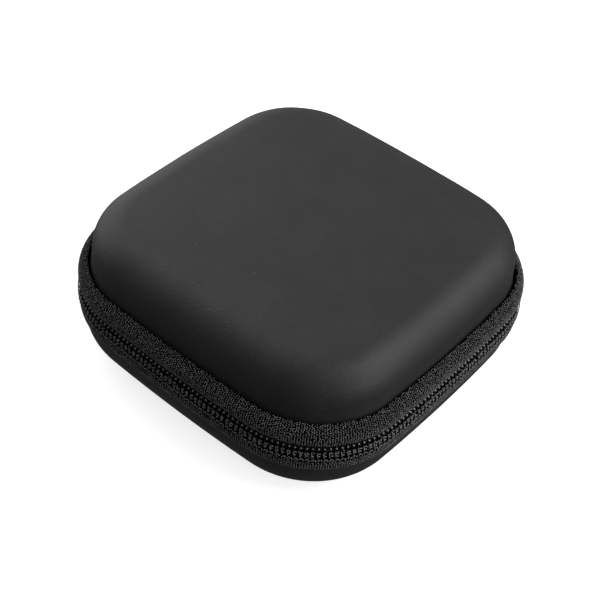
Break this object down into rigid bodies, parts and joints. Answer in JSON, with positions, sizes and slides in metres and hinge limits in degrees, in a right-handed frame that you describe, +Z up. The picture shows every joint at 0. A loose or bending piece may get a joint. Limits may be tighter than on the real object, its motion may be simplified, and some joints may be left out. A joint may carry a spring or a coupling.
{
  "type": "earphone case",
  "caption": "Small square hard-shell earphone case, moulded lid and base with large rounded corners, fabric hinge and a coil zip round the middle.",
  "frame": {"origin": "middle of the flat underside that the closed case rests on", "axes": "+Z up through the lid, +Y to the hinge at the back, +X to the slider's side"},
  "size_m": [0.0831, 0.0795, 0.0312],
  "materials": {
    "case_skin": "satin, fine grain",
    "foam_core": "matte closed-cell foam",
    "lining_fabric": "brushed knit",
    "zip_tape": "coarse knit",
    "zip_coil": "satin",
    "binding_ribbon": "ribbed ribbon",
    "net": "open net",
    "elastic": "ribbed elastic",
    "slider_metal": "satin black",
    "grip_rubber": "matte",
    "thread": "twisted thread"
  },
  "bodies": {
    "base": {"base_skin": "case_skin", "base_foam_core": "foam_core", "base_lining": "lining_fabric", "base_zipper_tape": "zip_tape", "base_zipper_coil": "zip_coil", "base_zipper_stops": "slider_metal", "base_edge_binding": "binding_ribbon", "base_seam_thread": "thread", "base_hinge_thread": "thread", "hinge_outer_strip": "zip_tape", "hinge_inner_strip": "lining_fabric"},
    "lid": {"lid_skin": "case_skin", "lid_foam_core": "foam_core", "lid_lining": "lining_fabric", "lid_zipper_tape": "zip_tape", "lid_zipper_coil": "zip_coil", "lid_zipper_stops": "slider_metal", "lid_edge_binding": "binding_ribbon", "lid_net_pocket": "net", "lid_pocket_elastic": "elastic", "lid_seam_thread": "thread", "lid_hinge_thread": "thread"},
    "slider": {"zipper_slider": "slider_metal"},
    "pull": {"pull_plate": "slider_metal", "pull_grip": "grip_rubber"}
  },
  "joints": [
    {"name": "lid_hinge", "type": "hinge", "parent": "base", "child": "lid", "pos_m": [0, 0.0405, 0.0156], "axis": [-1, 0, 0], "range_deg": [0, 170], "deforming": ["hinge_outer_strip", "hinge_inner_strip"]},
    {"name": "slider_travel", "type": "slide", "parent": "base", "child": "slider", "axis": [0, -1, 0], "range_m": [0, 0.027]},
    {"name": "pull_swing", "type": "hinge", "parent": "slider", "child": "pull", "pos_m": [0.0419, 0.0135, 0.0156], "axis": [0, 0, 1], "range_deg": [0, 175]}
  ]
}
